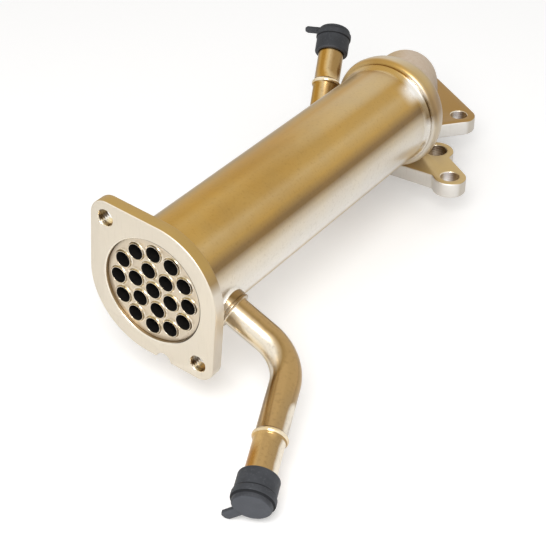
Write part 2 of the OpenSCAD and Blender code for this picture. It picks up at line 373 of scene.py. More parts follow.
def bored(name, letter, direction, stops, wander=1.0, metallic=1.0):
    """The inside of a drilled hole: light and shade painted by its side, with turning marks that ripple the
    painted bands.
    """
    material, shader, wire = finish_of(name, metallic)
    marks = wire.maths("SINE", wire.spot(letter) * (2 * math.pi * 1000 / MARK_PITCH), 0.0)
    stain = wire.grain(240, 3) - 0.5
    lit = wire.facing(direction) * 0.5 + 0.5
    # Painted light and shade: the ramp runs by how the wall faces, and marks and stains shift it.
    feed(shader, "Base Color", wire.ramp(lit + (marks * 0.16 + stain * 0.3) * wander, stops))
    feed(shader, "Roughness", 0.22 + lit * 0.1)
    return material


def line_bores(plate, bores, letter, wall, rim, flat=0.95):
    """Gives round holes, each a centre and a radius in mm, their own material on the wall and the rim."""
    axis = "XYZ".index(letter)
    for material in (wall, rim):
        plate.data.materials.append(material)
    rim_slot = len(plate.data.materials) - 1
    for face in plate.data.polygons:
        lean = abs(face.normal[axis])
        for centre, radius in bores:
            reach = face.center - Vector(centre) / 1000
            reach[axis] = 0.0
            near = reach.length < (radius + RIM_REACH) / 1000
            if lean < flat and near and reach.dot(face.normal) < 0:
                face.material_index = rim_slot if lean > RIM_LEAN else rim_slot - 1


def filler_ring(name, radius, station, run, place, steps=RING_STEPS):
    """A concave run of filler metal between a tube and the flat face that it stands on."""
    curve = [(radius + run * (1 - math.sin(a)), station + run * (1 - math.cos(a)))
             for a in quarter(FILLER_STEPS)]
    root = [(radius - FILLER_ROOT, station + run), (radius - FILLER_ROOT, station - FILLER_SINK),
            (radius + run, station - FILLER_SINK)]
    return turned(name, curve + root, place, steps)


flange_steel = plate_steel("machined_flange_steel", face=tone(227, 218, 202), top=tone(178, 147, 88),
                           wall=tone(226, 217, 203), line=tone(164, 138, 96))
front_flange = cut_plate("front_flange", "machined_front_flange", PLATE_EDGE)
dress(front_flange, flange_steel, "machined_steel", "front_flange")

rim_steel, shader, wire = finish_of("chamfered_rim_steel", 1.0)
nicks = wire.grain(400, 2)
feed(shader, "Base Color", wire.mix(nicks, tone(214, 198, 162), tone(244, 238, 226)))
feed(shader, "Roughness", 0.18 + nicks * 0.1)
recess_rim, shader, wire = finish_of("painted_shade_recess_rim", 1.0)
# Painted shade: the rim faces turned one way are dark.
away = wire.facing((-0.9, 0.0, -0.3)).between(0.0, 0.2)
feed(shader, "Base Color", wire.mix(away, tone(240, 232, 216), tone(70, 58, 42)))
feed(shader, "Roughness", 0.22 + away * 0.2)

# Painted light and shade round the bolt holes: gold, pale, a painted highlight band, then dark.
bolt_stops = [(0.06, tone(186, 144, 84)), (0.25, tone(238, 216, 166)), (0.43, tone(238, 226, 196)),
              (0.54, tone(255, 252, 246)), (0.62, tone(132, 118, 102)), (0.74, tone(82, 72, 60)),
              (0.9, tone(168, 162, 150))]
# Painted light and shade on the recess wall: dark on one side, lighter on the other.
recess_stops = [(0.35, tone(84, 70, 50)), (0.9, tone(160, 141, 112))]
bolt_bore = bored("drilled_bolt_hole", "Y", (0.764, 0.0, -0.645), bolt_stops, wander=0.3)
recess_bore = bored("bored_recess_wall", "Y", (0.5, 0.0, 0.86), recess_stops)
flange_holes = [((FLANGE_BOLTS * math.cos(a), 0.0, FLANGE_BOLTS * math.sin(a)), BOLT_HOLE_R)
                for a in (math.radians(FLANGE_TURN), math.radians(FLANGE_TURN + 180))]
line_bores(front_flange, flange_holes, "Y", bolt_bore, rim_steel)
line_bores(front_flange, [((0.0, 0.0, 0.0), RECESS_R)], "Y", recess_bore, recess_rim, flat=0.99)

flange_filler = filler_ring("front_flange_filler", SHELL_R, FLANGE_T, FLANGE_FILLER, along_shell)
dress(flange_filler, shell_steel, "brazed_steel")


# The front tube sheet is a stainless disc, drilled for the gas tubes. It lies a little behind the
# flange's face and is brazed in all round.
SHEET_EDGE = 0.25
sheet_steel = plate_steel("drilled_sheet_steel", face=tone(219, 206, 186), top=tone(176, 145, 90),
                          wall=tone(190, 172, 142), line=tone(140, 116, 82))
front_sheet = cut_plate("front_tube_sheet", "drilled_front_sheet", SHEET_EDGE)
dress(front_sheet, sheet_steel, "machined_steel", "front_tube_sheet")


# The gas tubes are thin drawn tubes, rolled into the sheets: each mouth is flared to a thin bright
# lip that stands proud, and the bore behind it is painted near black as the shade deep in the tube.
TUBE_R = 4.7
TUBE_BORE = 4.2
TUBE_PITCH = 11.26
TUBE_RING = 21.75
TUBE_TURN = 101.6
TUBE_START = 0.8
TUBE_END = 227.7
TUBE_STEPS = 48
SHEET_FACE = 2.0
MOUTH_RUN = 0.85
MOUTH_RISE = 0.95
MOUTH_SINK = 0.2
MOUTH_STEPS = 6
BORE_SHADE_START = 0.15

lip_steel, shader, wire = finish_of("rolled_tube_lip_steel", 1.0)
smear = wire.grain(420, 3)
base = wire.ramp(smear, [(0.34, tone(206, 188, 158)), (0.6, tone(236, 226, 210))])
# Painted reflection: olive gold on the upper side of each lip.
base = wire.mix(wire.facing((-0.3, 0.0, 1.0)).between(0.35, 0.8) * 0.7, base, tone(182, 164, 108))
# Painted shade: dark grey on the lower right flank of each lip.
base = wire.mix(wire.facing((0.9, 0.0, -0.3)).between(0.4, 0.85) * 0.6, base, tone(116, 108, 94))
feed(shader, "Base Color", base)
feed(shader, "Roughness", 0.16 + smear * 0.16)
# Painted shade: the bore behind each lip is near black.
bore_shade, shader, wire = finish_of("painted_shade_tube_bore", 0.0, 0.2)
bore_mottle = wire.grain(600, 3)
feed(shader, "Base Color", wire.ramp(bore_mottle, [(0.35, tone(10, 9, 8)), (0.7, tone(26, 22, 19))]))
feed(shader, "Roughness", 0.75 + bore_mottle * 0.2)

tube_spots = [(0.0, 0.0)]
tube_spots += [(TUBE_PITCH, TUBE_TURN + 60 * i) for i in range(6)]
tube_spots += [(TUBE_RING, TUBE_TURN + 15 + 30 * i) for i in range(12)]
mouth_flare = [(0.0, 2.0), (0.03, 0.6), (0.1, 0.15), (0.2, 0.03), (0.32, 0.0), (0.44, 0.05)]
mouth_fillet = [(TUBE_R + MOUTH_RUN * (1 - math.cos(a)), SHEET_FACE - MOUTH_RISE * (1 - math.sin(a)))
                for a in quarter(MOUTH_STEPS)]
tube_profile = [(TUBE_BORE, TUBE_END)]
tube_profile += [(TUBE_BORE + out, TUBE_START + back) for out, back in mouth_flare]
tube_profile += mouth_fillet
tube_profile += [(TUBE_R + MOUTH_RUN, SHEET_FACE + MOUTH_SINK), (TUBE_R, SHEET_FACE + MOUTH_SINK),
                 (TUBE_R, TUBE_END)]
for number, (reach, angle) in enumerate(tube_spots, 1):
    centre = mm(reach * math.cos(math.radians(angle)), 0, reach * math.sin(math.radians(angle)))
    place = Matrix.Translation(centre) @ along_shell
    tube = turned(f"rolled_tube_{number:02d}", tube_profile, place, TUBE_STEPS)
    dress(tube, lip_steel, "brazed_steel", f"gas_tube_{number:02d}")
    tube.data.materials.append(bore_shade)
    for face in tube.data.polygons:
        inward = face.normal.dot(centre - face.center) > 0.0
        behind_lip = face.center.y > (TUBE_START + BORE_SHADE_START) / 1000
        if inward and behind_lip and abs(face.normal.y) < 0.5:
            face.material_index = 1


# The gas collector is an investment casting: a bowl that takes the shell's end, and an elbow that
# turns the gas down to the rear flange. Its mouth is turned bright, the rest keeps its cast skin.
ELBOW_FROM = 236.0
ELBOW_TO = 250.0
CAST_START = SHELL_END + 0.9
CAST_VOXEL = 0.9
CAST_EASE = 0.5
CAST_ROUNDS = 8
CUT_NEAR = 1e-6


def cast_skin(node, name, front):
    """The solid's own form behind a station, with its corners run together as they are in a casting."""
    piece = bpy.data.objects.new(name, nodes[node].data.copy())
    bpy.context.scene.collection.objects.link(piece)
    shape = bmesh.new()
    shape.from_mesh(piece.data)
    bmesh.ops.remove_doubles(shape, verts=shape.verts, dist=SOLID_WELD)
    shape.to_mesh(piece.data)
    shape.free()
    remesh = piece.modifiers.new("skin", "REMESH")
    remesh.mode = "VOXEL"
    remesh.voxel_size = CAST_VOXEL / 1000
    smooth = piece.modifiers.new("ease", "SMOOTH")
    smooth.factor = CAST_EASE
    smooth.iterations = CAST_ROUNDS
    bpy.context.view_layer.update()
    eased_piece = piece.evaluated_get(bpy.context.evaluated_depsgraph_get())
    result = bpy.data.meshes.new_from_object(eased_piece)
    piece.modifiers.clear()
    piece.data = result
    shape = bmesh.new()
    shape.from_mesh(result)
    bmesh.ops.bisect_plane(shape, geom=shape.verts[:] + shape.edges[:] + shape.faces[:], dist=CUT_NEAR,
                           plane_co=mm(0, front, 0), plane_no=(0, 1, 0), clear_inner=True)
    shape.to_mesh(result)
    shape.free()
    for face in result.polygons:
        face.use_smooth = True
    return piece


bowl_pale = tone(206, 192, 170)
bowl_line = tone(168, 140, 102)
bowl_side = tone(186, 160, 108)
bowl_straw = tone(188, 163, 114)
bowl_top = tone(199, 181, 151)
# Painted reflection by angle round the bowl, with a dark horizon line from 16 to 30 and at 150 degrees.
bowl_tints = [(-150, under_steel), (-60, under_steel), (-30, bowl_pale), (2, bowl_pale), (16, bowl_line),
              (30, bowl_line), (46, bowl_side), (62, bowl_straw), (88, bowl_top), (125, bowl_top),
              (150, bowl_line), (175, bowl_pale)]

cast_steel, shader, wire = finish_of("investment_cast_steel", 1.0)
sand = wire.grain(520, 4)
pits = wire.grain(1500, 2)
elbow = wire.along("Y", ELBOW_FROM, ELBOW_TO)
# Painted light and shade on the cast skin: darker where it faces down, lighter where it faces up.
skin = wire.ramp(wire.facing((0, -0.2, 1)) * 0.5 + 0.5,
                 [(0.0, tone(120, 106, 92)), (0.4, tone(172, 154, 134)), (0.7, tone(196, 179, 158)),
                  (1.0, tone(206, 189, 170))])
# Painted reflection: straw on the skin that faces up and to the left.
skin = wire.mix(wire.facing((-0.8, -0.1, 0.6)).between(0.5, 0.95) * 0.7, skin, straw_pale)
skin = wire.mix(sand.between(0.3, 0.7) * 0.3, skin, tone(150, 128, 106), "SOFT_LIGHT")
feed(shader, "Base Color", wire.mix(elbow, tint_round(wire, bowl_tints, sand * 0.01 - 0.005), skin))
feed(shader, "Metallic", 1 - elbow * 0.5)
feed(shader, "Roughness", 0.3 + elbow * 0.24 + sand * 0.1)
feed(shader, "Normal", wire.bump((sand + pits * 0.5) * elbow, 0.25))
collector = cast_skin("gas_collector", "cast_collector", CAST_START)
dress(collector, cast_steel, "cast_steel", "gas_collector")


# The collar is the turned mouth of the casting: a thin lip, a groove and a round shoulder. A run of
# filler leads from the shell up to the lip, and takes the shell's tints where it starts.
LIP_Y = 224.5
LIP_R = 31.6
BOWL_R = 34.6
SHOULDER_STEPS = 9
COLLAR_INNER = SHELL_R - 0.3
COLLAR_STEPS = 180
RUN_LEN = 5.0
RUN_RISE = 1.35
RUN_SINK = 0.03
RUN_POINTS = 9
GROOVE_SINK = 0.18
GROOVE_END = 1.6
SHOULDER_Y = SHELL_END + 1.2
TAIL_FLAT = 0.3
TAIL_END = 1.4
TAIL_SINK = 0.3
LIP_TINT = (220.5, 223.8)
GROOVE_FRONT = (225.3, 225.6)
GROOVE_BACK = (225.9, 226.2)
SHOULDER_TINT = (225.8, 227.2)
BOWL_TINT = (227.4, 229.6)

collar_pale = tone(198, 186, 166)
collar_line = tone(140, 118, 88)
collar_side = tone(156, 138, 108)
collar_top = tone(176, 140, 78)
# Painted reflection by angle round the collar, with a painted highlight in pale steel from 40 to 58 degrees.
collar_tints = [(-150, under_steel), (-60, under_steel), (-30, bare_steel), (4, bare_steel),
                (14, collar_line), (30, collar_side), (40, bare_steel), (58, bare_steel),
                (66, straw_pale), (80, straw), (105, collar_top), (120, straw_pale), (145, straw_pale),
                (160, collar_line), (175, collar_pale)]
shoulder_side = tone(142, 118, 84)
shoulder_grey = tone(168, 148, 112)
shoulder_straw = tone(172, 146, 98)
shoulder_warm = tone(178, 142, 78)
shoulder_top = tone(172, 136, 78)
# Painted reflection by angle round the shoulder, with a dark line near 14 and 160 degrees.
shoulder_tints = [(-150, under_steel), (-60, under_steel), (-30, collar_pale), (0, collar_pale),
                  (14, collar_line), (30, shoulder_side), (48, shoulder_grey), (60, shoulder_straw),
                  (80, shoulder_warm), (105, shoulder_top), (145, straw_pale), (160, collar_line),
                  (175, collar_pale)]

collar_steel, shader, wire = finish_of("turned_collar_steel", 1.0)
chatter = wire.grain(300, 3, (1, 6, 1))
shake = chatter * 0.008 - 0.004
shoulder = wire.along("Y", *SHOULDER_TINT)
groove = wire.along("Y", *GROOVE_FRONT) * (1 - wire.along("Y", *GROOVE_BACK))
painted = wire.mix(wire.along("Y", *LIP_TINT), shell_paint(wire), tint_round(wire, collar_tints, shake))
painted = wire.mix(shoulder, painted, tint_round(wire, shoulder_tints, shake))
painted = wire.mix(wire.along("Y", *BOWL_TINT), painted, tint_round(wire, bowl_tints, shake))
# Painted shade in the groove behind the lip.
painted = wire.mix(groove * 0.4, painted, tone(112, 92, 62))
painted = wire.mix(chatter.between(0.4, 0.7) * 0.15, painted, tone(236, 216, 170), "SOFT_LIGHT")
feed(shader, "Base Color", painted)
feed(shader, "Roughness", 0.24 + shoulder * 0.12 + chatter * 0.08)

filler_shares = [k / RUN_POINTS for k in range(RUN_POINTS + 1)]
collar_filler = [(SHELL_R - RUN_SINK + RUN_RISE * share ** 2, LIP_Y - RUN_LEN * (1 - share))
                 for share in filler_shares]
lip_turning = [(-0.12, 0.08), (0.0, 0.25), (0.0, 0.8), (-0.1, 0.95), (-0.22, 1.15), (-0.2, 1.4)]
collar_lip = [(LIP_R + rise, LIP_Y + back) for rise, back in lip_turning]
shoulder_rise = BOWL_R - LIP_R + GROOVE_SINK
shoulder_run = SHOULDER_Y - LIP_Y - GROOVE_END
collar_shoulder = [(BOWL_R - shoulder_rise * (1 - math.sin(a)), SHOULDER_Y - shoulder_run * math.cos(a))
                   for a in quarter(SHOULDER_STEPS)]
collar_tail = [(BOWL_R, SHOULDER_Y + TAIL_FLAT), (BOWL_R - TAIL_SINK, SHOULDER_Y + TAIL_END),
               (COLLAR_INNER, SHOULDER_Y + TAIL_END), (COLLAR_INNER, LIP_Y - RUN_LEN)]
collar_profile = collar_filler + collar_lip + collar_shoulder + collar_tail
collar = turned("turned_collar", collar_profile, along_shell, COLLAR_STEPS)
dress(collar, collar_steel, "cast_steel")


# The rear flange is thick plate, profile cut and welded to the elbow's end. It carries the bolts of
# the gas outlet and the two ears of the engine bracket.
OUTLET = (-28.0, 303.0)
ELBOW_R = 20.0
FOOT_TOP = -34.75
FOOT_WELD = 2.4
FOOT_WELD_STEPS = 96
FOOT_BOLTS = 36.0
FOOT_ANGLES = (10, 100, 235)
FOOT_HOLE_R = 5.25
EAR_HOLE = ((40.6, SHELL_END + 7.9, 0.0), 5.5)
SHELTERED_HOLE = ((18.2, SHELL_END + 31.5, 0.0), 6.5)
HOLE_SIDE = (0.83, 0.56, 0.0)
BEHIND_FROM = 262.0
BEHIND_TO = 285.0
SHADE_LIFT_X = (6.0, 30.0)
SHADE_LIFT_Y = (240.0, 256.0)


def rear_plate_tints(wire, base, top):
    """Painted shade: browner on top behind the casting. Painted light: paler on top beside the shell, against
    its shade.
    """
    base = wire.mix(top * wire.along("Y", BEHIND_FROM, BEHIND_TO), base, tone(158, 124, 70))
    shade_lift = (1 - wire.along("X", *SHADE_LIFT_X)) * (1 - wire.along("Y", *SHADE_LIFT_Y))
    return wire.mix(top * shade_lift, base, tone(236, 210, 160))


elbow_weld = filler_ring("elbow_foot_weld", ELBOW_R, FOOT_TOP, FOOT_WELD,
                         Matrix.Translation(mm(OUTLET[0], OUTLET[1], 0)), FOOT_WELD_STEPS)
dress(elbow_weld, cast_steel, "cast_steel")

foot_steel = plate_steel("profile_cut_flange_steel", face=tone(234, 231, 226), top=tone(190, 164, 114),
                         wall=tone(206, 199, 188), line=tone(150, 128, 92), retint=rear_plate_tints)
rear_flange = cut_plate("rear_flange", "profile_cut_rear_flange", PLATE_EDGE)
dress(rear_flange, foot_steel, "machined_steel", "rear_flange")

# Painted light and shade round the foot holes, with a painted highlight band.
foot_stops = [(0.06, tone(150, 122, 78)), (0.22, tone(140, 120, 98)), (0.4, tone(206, 196, 190)),
              (0.54, tone(250, 246, 246)), (0.72, tone(248, 245, 242)), (0.86, tone(204, 182, 146)),
              (0.97, tone(150, 122, 78))]
# Painted shade: the hole under the casting is darker.
sheltered_stops = [(0.1, tone(110, 86, 52)), (0.3, tone(150, 130, 106)), (0.48, tone(200, 184, 164)),
                   (0.62, tone(140, 116, 86)), (0.8, tone(156, 126, 80)), (0.95, tone(120, 92, 54))]
foot_bore = bored("drilled_foot_hole", "Z", HOLE_SIDE, foot_stops, wander=0.12, metallic=0.4)
sheltered_bore = bored("sheltered_foot_hole", "Z", HOLE_SIDE, sheltered_stops, wander=0.3, metallic=0.4)
foot_holes = [((OUTLET[0] + FOOT_BOLTS * math.cos(a), OUTLET[1] + FOOT_BOLTS * math.sin(a), 0.0), FOOT_HOLE_R)
              for a in (math.radians(angle) for angle in FOOT_ANGLES)]
line_bores(rear_flange, foot_holes + [EAR_HOLE], "Z", foot_bore, rim_steel)
line_bores(rear_flange, [SHELTERED_HOLE], "Z", sheltered_bore, rim_steel)


# The coolant pipes are bright bent tube with a rolled hose bead, each brazed into a turned boss on the
# shell. Their colour is painted by the tube's side as reflection: the front one gold on top and pale below,
# the rear one gold all round.
PIPE_R = 8.0
PIPE_WALL = 1.0
PIPE_STEPS = 80
ROOT_SHARES = (0, 0.5, 0.97)
BEND_STEPS = 40
BEND_LEAD = 1.0
BEAD_R = 9.2
BEAD_HALF = 2.1
BEAD_BRIGHT = 0.6
BEAD_POWER = 1.2
BEAD_STEPS = 9
HOSE_LEN = 37.0
HOSE_SHARES = (0.2, 0.6, 1.0)
BOSS_R = 10.25
BOSS_TOP = 34.8
BOSS_FOOT = SHELL_BORE - 2.0
BOSS_BORE = PIPE_R - 0.5
BOSS_EASE = 0.35
BOSS_GROOVE = ((0.0, 1.8), (0.55, 1.4), (0.0, 1.0))
SADDLE_RUN = 1.4
SADDLE_CURVE_STEPS = 7
SADDLE_STEPS = 96
SADDLE_SINK = 0.05
PIPE_FILLER = 0.9
FRONT_PIPE = {"station": 26.2, "heading": -24.3, "spin": -84.0, "bend": 65.0, "bend_r": 26.6,
              "root": 26.9, "end": 69.0, "tab": 60.0}
REAR_PIPE = {"station": 200.0, "heading": 234.4, "spin": 51.2, "bend": 106.5, "bend_r": 20.0,
             "root": 6.2, "end": 81.5, "tab": 238.0}


def at_root(pipe):
    """The pipe's place on the shell's axis, with Z out along its root and X toward its bend."""
    return (Matrix.Translation(mm(0, pipe["station"], 0))
            @ Matrix.Rotation(math.radians(90 - pipe["heading"]), 4, "Y")
            @ Matrix.Rotation(math.radians(pipe["spin"]), 4, "Z"))


def in_bend(pipe, angle, run=0.0):
    """A place in the bend, turned by this angle, or this far along the straight that follows it."""
    radius = pipe["bend_r"]
    spot = mm(radius * (1 - math.cos(angle)) + run * math.sin(angle), 0,
              SHELL_BORE + pipe["root"] + radius * math.sin(angle) + run * math.cos(angle))
    return at_root(pipe) @ Matrix.Translation(spot) @ Matrix.Rotation(angle, 4, "Y")


def after_bend(pipe, run):
    return in_bend(pipe, math.radians(pipe["bend"]), run)


def axis_of(place):
    return place.to_3x3() @ Vector((0, 0, 1))


def pipe_line(pipe):
    """Stations along a pipe, each a place and a radius: root, bend, bead and straight end."""
    line = [(at_root(pipe) @ Matrix.Translation(mm(0, 0, SHELL_BORE + pipe["root"] * t)), PIPE_R)
            for t in ROOT_SHARES]
    bend = math.radians(pipe["bend"])
    line += [(in_bend(pipe, bend * k / BEND_STEPS), PIPE_R) for k in range(BEND_STEPS + 1)]
    line.append((after_bend(pipe, BEND_LEAD), PIPE_R))
    bead = pipe["end"] - HOSE_LEN
    for k in range(-BEAD_STEPS, BEAD_STEPS + 1):
        rise = (BEAD_R - PIPE_R) * max(0.0, math.cos(k / BEAD_STEPS * math.pi / 2)) ** BEAD_POWER
        line.append((after_bend(pipe, bead + BEAD_HALF * k / BEAD_STEPS), PIPE_R + rise))
    line += [(after_bend(pipe, bead + HOSE_LEN * t), PIPE_R) for t in HOSE_SHARES]
    return line


def drawn_pipe(name, pipe):
    outer = pipe_line(pipe)
    inner = [(place, PIPE_R - PIPE_WALL) for place, _ in reversed(outer)]
    rings = [[place @ mm(radius * math.cos(a), radius * math.sin(a), 0) for a in around(PIPE_STEPS)]
             for place, radius in outer + inner]
    return skinned(name, rings)


def saddle(name, pipe, run):
    """The run of filler where a boss stands on the round shell."""
    place = at_root(pipe)
    spin = math.radians(pipe["spin"])
    rings = []
    for a in quarter(SADDLE_CURVE_STEPS):
        radius = BOSS_R + run * (1 - math.sin(a))
        lift = run * (1 - math.cos(a))
        ring = []
        for turn in around(SADDLE_STEPS):
            x = radius * math.cos(turn)
            y = radius * math.sin(turn)
            across = x * math.cos(spin) - y * math.sin(spin)
            height = math.sqrt((SHELL_R - SADDLE_SINK) ** 2 - across ** 2)
            ring.append(place @ mm(x, y, height + lift))
        rings.append(ring)
    return skinned(name, rings, False)


def paint_bead_highlight(piece, pipe, material):
    """Gives the bead of a pipe a painted highlight on its crown."""
    piece.data.materials.append(material)
    place = after_bend(pipe, pipe["end"] - HOSE_LEN)
    axis = axis_of(place)
    for face in piece.data.polygons:
        if abs((face.center - place.translation).dot(axis)) < BEAD_HALF * BEAD_BRIGHT / 1000:
            face.material_index = 1


SWING_FROM = 26.0
SWING_TO = -3.7
SWING_SHIFT = 1.35
SIDE_SPAN = 3.2
PAST_BEND = (-12.0, 0.0)
HOSE_END = (-34.0, -26.0)
front_root_side = (0.29, 0.71, 0.64)
front_end_side = (0.83, 0.56, 0.0)
rear_engine_side = (-0.89, 0.41, -0.2)


def front_side(wire):
    """How far round the front pipe a spot lies from the inside of its bend, 0 to 1, more toward its end."""
    swing = 1 - wire.along("Y", SWING_TO, SWING_FROM)
    across = wire.facing(front_root_side) * (1 - swing) + wire.facing(front_end_side) * swing
    return (across + swing * SWING_SHIFT + 1.0) * (1 / SIDE_SPAN)


def rear_side(wire):
    """How far round the rear pipe a spot lies from the side that faces the engine, 0 to 1."""
    return wire.facing(rear_engine_side) * 0.5 + 0.5


def front_pipe_ends(wire, base, turn):
    """A lighter gold past the bend, painted light against the shade there, and a deep gold on the hose end.
    """
    past_bend = 1 - wire.along("Y", *PAST_BEND)
    hose_end = 1 - wire.along("Y", *HOSE_END)
    base = wire.mix(past_bend * (1 - turn.between(0.58, 0.68)) * 0.8, base, tone(208, 172, 112))
    return wire.mix(hose_end * (1 - turn.between(0.55, 0.66)), base, tone(170, 119, 46))


def boss_shade(wire, base, turn):
    """A boss is a little darker than its pipe all round."""
    return wire.mix(1.0, base, tone(207, 202, 196), "MULTIPLY")


def bright_steel(name, side, stops, retint=None):
    """Bright tube with its colour painted by the side of the tube as reflection, and small dark scuffs."""
    material, shader, wire = finish_of(name, 1.0)
    cloud = wire.grain(70, 3)
    speck = wire.grain(600, 3)
    scuff = wire.grain(260, 2)
    turn = side(wire)
    base = wire.ramp(turn + (cloud - 0.5) * 0.06, stops)
    if retint:
        base = retint(wire, base, turn)
    base = wire.mix((0.5 - speck).between(0, 0.3) * 0.22, base, tone(140, 112, 70), "MULTIPLY")
    base = wire.mix((scuff - 0.7).between(0, 0.06) * 0.2, base, tone(104, 82, 54))
    feed(shader, "Base Color", base)
    feed(shader, "Roughness", 0.17 + cloud * 0.12)
    feed(shader, "Normal", wire.bump(speck + cloud, 0.06))
    return material


pipe_pale = tone(238, 228, 210)
pipe_cream = tone(226, 206, 168)
pipe_edge = tone(196, 174, 138)
pipe_gold = tone(176, 144, 94)
pipe_brown = tone(152, 122, 74)
pipe_limb = tone(164, 136, 93)
# Painted reflection by side: pale steel with a painted highlight, a dark line, then gold.
front_pipe_tints = [(0.0, under_steel), (0.1, pipe_pale), (0.17, pipe_cream), (0.26, pipe_pale),
                    (0.36, pipe_pale), (0.415, pipe_edge), (0.47, pipe_brown), (0.53, pipe_gold),
                    (0.78, pipe_gold), (0.95, pipe_limb), (0.99, pipe_pale)]
pipe_tan = tone(160, 128, 80)
pipe_light = tone(206, 180, 134)
pipe_straw = tone(200, 163, 98)
pipe_amber = tone(172, 128, 56)
pipe_deep = tone(170, 124, 48)
pipe_warm = tone(184, 144, 72)
# Painted reflection by side: gold all round, lighter and darker by side.
rear_pipe_tints = [(0.04, pipe_brown), (0.1, pipe_tan), (0.19, pipe_light), (0.27, pipe_straw),
                   (0.33, pipe_amber), (0.42, pipe_deep), (0.5, pipe_warm), (0.7, pipe_gold)]

# Painted highlight: the bead's crown is pale steel.
bead_highlight_steel, shader, wire = finish_of("painted_highlight_bead_steel", 1.0)
highlight_mottle = wire.grain(160, 2)
feed(shader, "Base Color", wire.ramp(highlight_mottle, [(0.3, tone(218, 190, 138)), (0.7, tone(243, 230, 204))]))
feed(shader, "Roughness", 0.14 + highlight_mottle * 0.1)

boss_outline = [(BOSS_BORE, BOSS_FOOT), (BOSS_R, BOSS_FOOT)]
boss_outline += [(BOSS_R - depth, BOSS_TOP - below) for depth, below in BOSS_GROOVE]
boss_outline += [(BOSS_R, BOSS_TOP), (BOSS_BORE, BOSS_TOP)]
boss_profile = eased(boss_outline, BOSS_EASE)
for side, pipe, turn_of, tints, ends in (("front", FRONT_PIPE, front_side, front_pipe_tints, front_pipe_ends),
                                         ("rear", REAR_PIPE, rear_side, rear_pipe_tints, None)):
    steel = bright_steel(f"{side}_pipe_steel", turn_of, tints, ends)
    bent_pipe = drawn_pipe(f"bent_{side}_pipe", pipe)
    dress(bent_pipe, steel, "brazed_steel", f"{side}_coolant_pipe")
    paint_bead_highlight(bent_pipe, pipe, bead_highlight_steel)
    boss_steel = bright_steel(f"{side}_boss_steel", turn_of, tints, boss_shade)
    boss = turned(f"turned_{side}_boss", boss_profile, at_root(pipe), PIPE_STEPS)
    dress(boss, boss_steel, "brazed_steel", f"{side}_pipe_boss")
    dress(saddle(f"{side}_boss_filler", pipe, SADDLE_RUN), shell_steel, "brazed_steel")
    pipe_filler = filler_ring(f"{side}_pipe_filler", PIPE_R, BOSS_TOP, PIPE_FILLER, at_root(pipe), PIPE_STEPS)
    dress(pipe_filler, steel, "brazed_steel")


# The rubber caps are moulded plugs that keep dirt out until the hoses go on. Each has a ridge near
# its closed end and a pull tab beside it, and is only pushed over its pipe.
CAP_LEN = 17.0
CAP_WALL = 2.2
CAP_FIT = 0.1
CAP_RIM_R = 10.5
CAP_RIDGE_R = 11.1
CAP_END_R = 10.0
CAP_ROUND = 0.8
CAP_EASE = 0.45
CAP_STEPS = 96
RIDGE_START = 10.8
RIDGE_STOP = 13.8
RIDGE_SLOPE = 0.6
CREASE_NEAR = 0.1
CREASE_FAR = 1.1
TAB_T = 2.0
TAB_REACH = 18.8
TAB_HALF = 3.0
TAB_CORNER = 1.6
TAB_ROOT = CAP_END_R - 2.0
TAB_EDGE = 0.5

rubber, shader, wire = finish_of("moulded_cap_rubber", 0.0, 0.35)
cloud = wire.grain(90, 4)
dust = wire.grain(900, 3)
front_cap_end = wire.facing(axis_of(after_bend(FRONT_PIPE, 0.0))).between(0.75, 0.95)
upward = wire.facing((0, 0, 1)).between(0.1, 0.7)
base = wire.mix(cloud.between(0.3, 0.75), tone(52, 54, 58), tone(73, 75, 80))
# Painted shade: the caps are darker where they face up.
base = wire.mix(upward * 0.7, base, tone(190, 191, 192), "MULTIPLY")
# Painted light: the front cap's end face is lighter and bluer.
base = wire.mix(front_cap_end * 0.5, base, tone(84, 87, 94))
base = wire.mix((dust - 0.55).between(0, 0.2) * 0.2, base, tone(104, 105, 110))
feed(shader, "Base Color", base)
feed(shader, "Roughness", 0.48 + cloud * 0.25)
feed(shader, "Normal", wire.bump(dust + cloud * 0.5, 0.3))
# Painted shade: near black rubber for the creases beside the ridge.
crease_rubber, shader, wire = finish_of("painted_shade_crease_rubber", 0.0, 0.2)
crease_mottle = wire.grain(500, 2)
feed(shader, "Base Color", wire.mix(crease_mottle, tone(24, 25, 27), tone(40, 41, 44)))
feed(shader, "Roughness", 0.6 + crease_mottle * 0.2)


def darken_creases(cap, place):
    """Gives the two creases beside the ridge a painted shade."""
    cap.data.materials.append(crease_rubber)
    axis = axis_of(place)
    for face in cap.data.polygons:
        station = (face.center - place.translation).dot(axis) * 1000
        before = CREASE_NEAR < RIDGE_START - station < CREASE_FAR
        behind = CREASE_NEAR < station - RIDGE_STOP < CREASE_FAR
        if before or behind:
            face.material_index = 1


def pull_tab(name, place):
    """A flat tongue with two cut corners and soft edges."""
    blunt = TAB_REACH - TAB_CORNER
    narrow = TAB_HALF - TAB_CORNER
    outline = [(TAB_ROOT, -TAB_HALF), (blunt, -TAB_HALF), (TAB_REACH, -narrow), (TAB_REACH, narrow),
               (blunt, TAB_HALF), (TAB_ROOT, TAB_HALF)]
    shape = bmesh.new()
    lower = [shape.verts.new(place @ mm(x, y, 0)) for x, y in outline]
    upper = [shape.verts.new(place @ mm(x, y, TAB_T)) for x, y in outline]
    shape.faces.new(lower[::-1])
    shape.faces.new(upper)
    for i in range(len(outline)):
        j = (i + 1) % len(outline)
        shape.faces.new((lower[i], lower[j], upper[j], upper[i]))
    bmesh.ops.bevel(shape, geom=shape.edges[:], offset=TAB_EDGE / 1000, segments=3, profile=0.5,
                    affect="EDGES")
    return made(name, shape)


